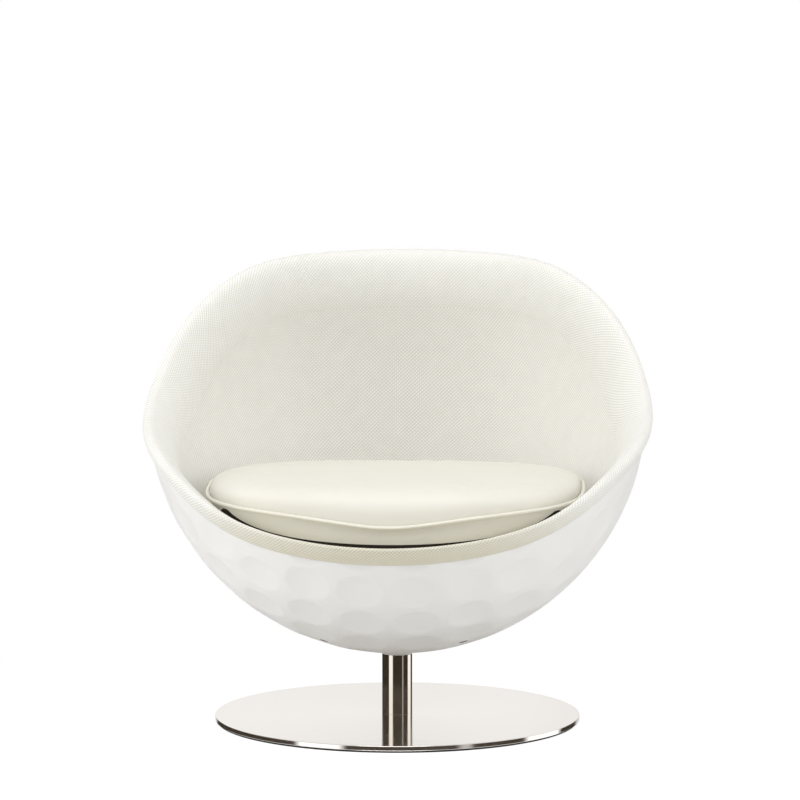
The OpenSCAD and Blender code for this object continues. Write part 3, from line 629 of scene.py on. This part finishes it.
def cushionPlan(turn, inset):  # a squarish oval: an ellipse whose cosine and sine are raised to 2 / power
    full = lambda c: np.sign(c) * np.abs(c) ** (2 / cushion["power"])
    depth = np.where(np.sin(turn) < 0, cushion["front"], cushion["back"])
    return np.stack([(cushion["halfWidth"] - inset) * full(np.cos(turn)),
                     (depth - inset) * full(np.sin(turn))], axis=-1)


def cushionEdge(turn):  # level behind, a wide sag to the front with a soft V in its middle
    c = np.maximum(0, -np.sin(turn))
    side = np.sqrt(np.cos(turn) ** 2 + cushion["vSoftness"])
    dip = (cushion["wideDip"] * np.sqrt(c)
           + (1 - cushion["wideDip"]) * np.clip(1 - side, 0, 1) ** cushion["vPower"])
    return cushion["sideEdge"] - np.where(c > 0, (cushion["sideEdge"] - cushion["frontEdge"]) * dip, 0)


# Soft gathers that run in from the seam: three waves around the cushion with shifting beats, highest at
# the reach from the seam and all but gone in the middle. Whole numbers of waves close round the seam.
def puckers(turn, s):
    inward = (1 - s) * cushion["front"] / cushion["puckerReach"]
    wave = (np.sin(61 * turn + 2 * np.sin(3 * turn)) * np.sin(5 * turn + 1)
            + np.sin(37 * turn + 2 * np.cos(4 * turn) + 3 * inward) * np.cos(7 * turn)
            + np.sin(97 * turn + np.sin(9 * turn)) * np.sin(11 * turn + 2) * 0.6)
    return cushion["puckerHeight"] * wave * inward * np.exp(1 - inward)


# Above the seam the height goes from the seam to the crown by w = (1 - share ^ topPower) ^ topFullness,
# with share 0 in the middle and 1 at the seam. Below it the outline shrinks by q ^ (1 / power), while the
# height goes from the seam to the base by w = (1 - q) ^ lowFullness; power is greater in front, where
# the side stands steeper.
def makeCushion():
    spec = cushion
    turn = fullTurn(spec["stations"])
    plan, edge = cushionPlan(turn, spec["seamInset"]), cushionEdge(turn)
    share = np.sin(np.linspace(0, math.pi / 2, spec["rings"] + 1)[1:, None]) ** spec["ringSpread"]
    w = (1 - share ** spec["topPower"]) ** spec["topFullness"]
    z = edge * (1 - w) + spec["crown"] * w + puckers(turn, share)
    upper = np.concatenate([plan * share[..., None], z[..., None]], axis=-1)

    # Painted shade: from ring darkStep down, and on the underside, the cushion is dark brown, in front from a
    # little above where the rim hides the cushion's side, so a dark band shows like the gap's shadow.
    azimuth = np.arctan2(plan[:, 1] - spec["shift"], plan[:, 0])
    hidden = (ball["height"] + ball["radius"] * rimMiddle(azimuth)[:, 2] + spec["darkAbove"]
              - spec["darkSlope"] * plan[:, 0] ** 2)
    low, high = spec["darkShares"]
    ahead = smoothStep(*spec["darkFront"], -np.sin(turn))
    start = np.clip((edge - hidden) / (edge - spec["base"]), low, high) * ahead + high * (1 - ahead)
    bend = np.log(start) / math.log(spec["darkStep"] / spec["lowSteps"])
    level = (np.arange(1, spec["lowSteps"])[:, None] / spec["lowSteps"]) ** bend
    q = np.concatenate([1 - level ** (1 / spec["lowFullness"]),
                        np.array(spec["lastShares"])[:, None] + 0 * turn])
    w = (1 - q) ** spec["lowFullness"]
    z = edge * (1 - w) + spec["base"] * w
    least, more, steep = spec["lowPower"]
    power = least + more * np.maximum(0, -np.sin(turn)) ** steep
    lower = np.concatenate([plan * (q ** (1 / power))[..., None], z[..., None]], axis=-1)

    rings = np.concatenate([upper, lower]) - np.array([0, spec["shift"], 0])
    piece = gridPiece("seatCushion", rings, finish["leather"], "cushion",
                      caps=((0, -spec["shift"], spec["crown"]), (0, -spec["shift"], spec["base"])))
    strip = np.repeat(np.arange(len(rings) - 1), spec["stations"])  # dark from darkStep down, lower fan too
    dark = np.concatenate([strip >= spec["rings"] + spec["darkStep"] - 1, np.zeros(spec["stations"], bool),
                           np.ones(spec["stations"], bool)])
    piece.data.materials.append(finish["gapShade"])
    piece.data.polygons.foreach_set("material_index", dark.astype(np.int32))
    return piece


# A round cord carried along the seam: each circle stands square to the seam's path.
def makePiping():
    spec = cushion
    turn = fullTurn(spec["pipingStations"])
    plan = cushionPlan(turn, spec["pipingRadius"] - spec["pipingTuck"])
    path = np.stack([plan[:, 0], plan[:, 1] - spec["shift"], cushionEdge(turn)], axis=-1)
    ahead = unit(np.roll(path, -1, axis=0) - np.roll(path, 1, axis=0))
    out = unit(np.cross(ahead, [0, 0, 1]))
    up = np.cross(out, ahead)
    angle = fullTurn(spec["pipingSides"])[:, None, None]
    rings = path + spec["pipingRadius"] * (out * np.cos(angle) + up * np.sin(angle))
    return gridPiece("cushionPiping", rings, finish["piping"], "cushion", closed=True)


seatCushion = makeCushion()
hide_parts("cushion_cover", "cushion_core")
cushionPiping = makePiping()
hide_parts("cushion_piping")
print("cushion made")


# Base plate, column, ring and pad

base = {
    "plateRadius": 0.300, "plateLow": 0.003, "plateTop": 0.011, "plateEdge": 0.0012, "padRadius": 0.296,
    "columnRadius": 0.025, "bore": 0.022, "columnTop": 0.1095, "ringTop": 0.1131, "bushLow": 0.0955,
    "bushBore": 0.01505, "fineEdge": 0.0003, "tubeEdge": 0.0004, "bushEdge": 0.0006, "stations": 512,
}

plateProfile = roundedProfile([(0, base["plateTop"], 0),
                               (base["plateRadius"], base["plateTop"], base["plateEdge"]),
                               (base["plateRadius"], base["plateLow"], base["plateEdge"]),
                               (0, base["plateLow"], 0)])
basePlate = lathePiece("basePlate", plateProfile, finish["plate"], "base", stations=base["stations"])
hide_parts("base_plate")

padProfile = roundedProfile([(0, base["plateLow"], 0),
                             (base["padRadius"], base["plateLow"], base["fineEdge"]),
                             (base["padRadius"], 0, base["fineEdge"]),
                             (0, 0, 0)])
floorPad = lathePiece("floorPad", padProfile, finish["rubber"], "base", stations=base["stations"])
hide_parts("floor_pad")

tubeProfile = roundedProfile([(base["columnRadius"], base["plateTop"], base["fineEdge"]),
                              (base["columnRadius"], base["columnTop"], base["tubeEdge"]),
                              (base["bore"], base["columnTop"], base["fineEdge"]),
                              (base["bore"], base["plateTop"], base["fineEdge"])])
columnTube = lathePiece("columnTube", tubeProfile, finish["column"], "base", closed=True)
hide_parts("column_tube")

bushProfile = roundedProfile([(base["columnRadius"], base["columnTop"], base["tubeEdge"]),
                              (base["columnRadius"], base["ringTop"], base["bushEdge"]),
                              (base["bushBore"], base["ringTop"], base["bushEdge"]),
                              (base["bushBore"], base["bushLow"], base["bushEdge"]),
                              (base["bore"], base["bushLow"], base["bushEdge"]),
                              (base["bore"], base["columnTop"], 0)])
upperBush = lathePiece("upperBush", bushProfile, finish["nylon"], "base", closed=True)
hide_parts("upper_bush")
print("base made")


# Floor, world, lamps and camera

studio = {
    "diffuse": 0.44, "floorShade": 0.9, "shadowShade": 0.36, "floorLift": 0.82, "fade": (0.42, 0.95),
    "floorSize": 30, "floorDrop": 0.0002, "aim": (0, 0, 0.4),
    "floorMirror": (0.9, 0.02),  # the floor's shade and roughness where a reflection shows it
    "lamps": {  # where each soft box hangs, its two sides, its power and whether reflections show it
        "soft box left": ((-2.8, -1.2, 1.3), (1.6, 2.3), 38, False),
        "soft box right": ((2.8, -1.1, 1.3), (1.6, 2.3), 27, False),
        "soft box above": ((0.0, -1.2, 3.0), (1.8, 1.8), 40, True),
    },
    # brightness along the horizon, in degrees from the front (0) over the photograph's right (90)
    "turns": [(-180, 0.60), (-160, 0.60), (-152, 0), (-64, 0), (-60, 1), (-34, 1), (-29, 0), (40, 0),
              (44, 0.4), (48, 0.4), (52, 0), (89, 0), (93, 1), (123, 1), (128, 0), (152, 0), (160, 0.48),
              (174, 0.50), (180, 0.57)],
    "dark": "#40362B", "bright": 1.65, "overhead": 0.9, "belt": (0.28, 0.42),
}
scene = bpy.context.scene


# White for the camera, an even pale light for matt surfaces. Reflections see a studio: bright above,
# and along the horizon dark walls with two tall soft boxes and the white backdrop behind the chair.
def makeWorld():
    world = bpy.data.worlds.new("studio")
    scene.world = world
    world.use_nodes = True
    tree = world.node_tree
    tree.nodes.clear()
    where = addNode(tree, "ShaderNodeTexCoord")
    split = addNode(tree, "ShaderNodeSeparateXYZ", {0: (where, "Generated")})
    back = addNode(tree, "ShaderNodeMath", {0: (split, 1), 1: -1.0}, operation="MULTIPLY")
    turn = addNode(tree, "ShaderNodeMath", {0: (split, 0), 1: (back, 0)}, operation="ARCTAN2")
    place = addNode(tree, "ShaderNodeMapRange", {0: (turn, 0), 1: -math.pi, 2: math.pi})
    ramp = addNode(tree, "ShaderNodeValToRGB", {0: (place, 0)})
    stops = studio["turns"]
    while len(ramp.color_ramp.elements) < len(stops):
        ramp.color_ramp.elements.new(0.5)
    for element, (degrees, level) in zip(ramp.color_ramp.elements, stops):
        element.position = (degrees + 180) / 360
        element.color = grey(level)
    horizon = addNode(tree, "ShaderNodeMix", {0: (ramp, 0), 6: linearColour(studio["dark"]),
                                              7: grey(studio["bright"])}, data_type="RGBA")
    rise = addNode(tree, "ShaderNodeMapRange", {0: (split, 2), 1: studio["belt"][0], 2: studio["belt"][1]},
                   interpolation_type="SMOOTHSTEP")
    room = addNode(tree, "ShaderNodeMix", {0: (rise, 0), 6: (horizon, 2), 7: grey(studio["overhead"])},
                   data_type="RGBA")
    path = addNode(tree, "ShaderNodeLightPath")
    even = addNode(tree, "ShaderNodeBackground", {0: grey(1), 1: studio["diffuse"]})
    mirrored = addNode(tree, "ShaderNodeBackground", {0: (room, 2), 1: 1.0})
    white = addNode(tree, "ShaderNodeBackground", {0: grey(1), 1: 1.0})
    matt = addNode(tree, "ShaderNodeMixShader", {0: (path, "Is Glossy Ray"), 1: (even, 0), 2: (mirrored, 0)})
    final = addNode(tree, "ShaderNodeMixShader", {0: (path, "Is Camera Ray"), 1: (matt, 0), 2: (white, 0)})
    addNode(tree, "ShaderNodeOutputWorld", {0: (final, 0)})


# White for the camera but for the object's soft shadow, which fades out with the distance. Plain white
# for bounced light, and polished in reflections, so that the column shows the studio down to its foot.
def makeFloor():
    material = bpy.data.materials.new("studio floor")
    material.use_nodes = True
    tree = material.node_tree
    tree.nodes.clear()
    path = addNode(tree, "ShaderNodeLightPath")
    matt = addNode(tree, "ShaderNodeBsdfDiffuse", {0: grey(studio["floorShade"])})
    pale = addNode(tree, "ShaderNodeBsdfDiffuse", {0: grey(studio["shadowShade"])})
    lift = addNode(tree, "ShaderNodeEmission", {0: grey(1), 1: studio["floorLift"]})
    near = addNode(tree, "ShaderNodeAddShader", {0: (pale, 0), 1: (lift, 0)})
    white = addNode(tree, "ShaderNodeEmission", {0: grey(1), 1: 1.0})
    where = addNode(tree, "ShaderNodeTexCoord")
    away = addNode(tree, "ShaderNodeVectorMath", {0: (where, "Object")}, operation="LENGTH")
    fade = addNode(tree, "ShaderNodeMapRange", {0: (away, 1), 1: studio["fade"][0], 2: studio["fade"][1]},
                   interpolation_type="SMOOTHSTEP")
    shown = addNode(tree, "ShaderNodeMixShader", {0: (fade, 0), 1: (near, 0), 2: (white, 0)})
    polished = addNode(tree, "ShaderNodeBsdfGlossy", {0: grey(studio["floorMirror"][0]),
                                                      "Roughness": studio["floorMirror"][1]})
    other = addNode(tree, "ShaderNodeMixShader", {0: (path, "Is Glossy Ray"), 1: (matt, 0), 2: (polished, 0)})
    final = addNode(tree, "ShaderNodeMixShader", {0: (path, "Is Camera Ray"), 1: (other, 0), 2: (shown, 0)})
    addNode(tree, "ShaderNodeOutputMaterial", {0: (final, 0)})
    mesh = bpy.data.meshes.new("floor")
    size = studio["floorSize"]
    mesh.from_pydata([(-size, -size, 0), (size, -size, 0), (size, size, 0), (-size, size, 0)], [],
                     [(0, 1, 2, 3)])
    mesh.materials.append(material)
    floor = bpy.data.objects.new("floor", mesh)
    floor.location.z = -studio["floorDrop"]
    scene.collection.objects.link(floor)


def addLamp(name, place, target, size, power, mirrored):
    data = bpy.data.lights.new(name, "AREA")
    data.shape, data.size, data.size_y, data.energy = "RECTANGLE", size[0], size[1], power
    lamp = bpy.data.objects.new(name, data)
    lamp.location = place
    lamp.visible_glossy = mirrored
    lamp.rotation_euler = (Vector(target) - Vector(place)).to_track_quat("-Z", "Y").to_euler()
    scene.collection.objects.link(lamp)


# Fitted to the photograph: the plate's ellipse and the ball's outline. aimOffset is in pixels to the right.
view = {"focalPixels": 2992.3, "imageWidth": 800, "distance": 4.8837, "height": 0.8794,
        "turn": math.radians(2.95), "pitch": 0.072, "aimOffset": 2.8, "sensorWidth": 36, "clipEnd": 100}


def makeCamera():
    data = bpy.data.cameras.new("camera")
    data.sensor_width = view["sensorWidth"]
    data.lens = view["focalPixels"] / view["imageWidth"] * data.sensor_width
    data.clip_end = view["clipEnd"]
    camera = bpy.data.objects.new("camera", data)
    away = Vector((math.sin(view["turn"]), -math.cos(view["turn"]), 0))
    side = Vector((math.cos(view["turn"]), math.sin(view["turn"]), 0))
    camera.location = away * view["distance"] + Vector((0, 0, view["height"]))
    aside, down = view["aimOffset"] / view["focalPixels"], math.tan(view["pitch"])
    sight = -away + side * aside - Vector((0, 0, down))
    camera.rotation_euler = sight.to_track_quat("-Z", "Y").to_euler()
    scene.collection.objects.link(camera)
    scene.camera = camera


makeWorld()
makeFloor()
for lampName, (place, size, power, mirrored) in studio["lamps"].items():
    addLamp(lampName, place, studio["aim"], size, power, mirrored)
makeCamera()
scene.view_settings.view_transform = "Standard"
print("stage made")
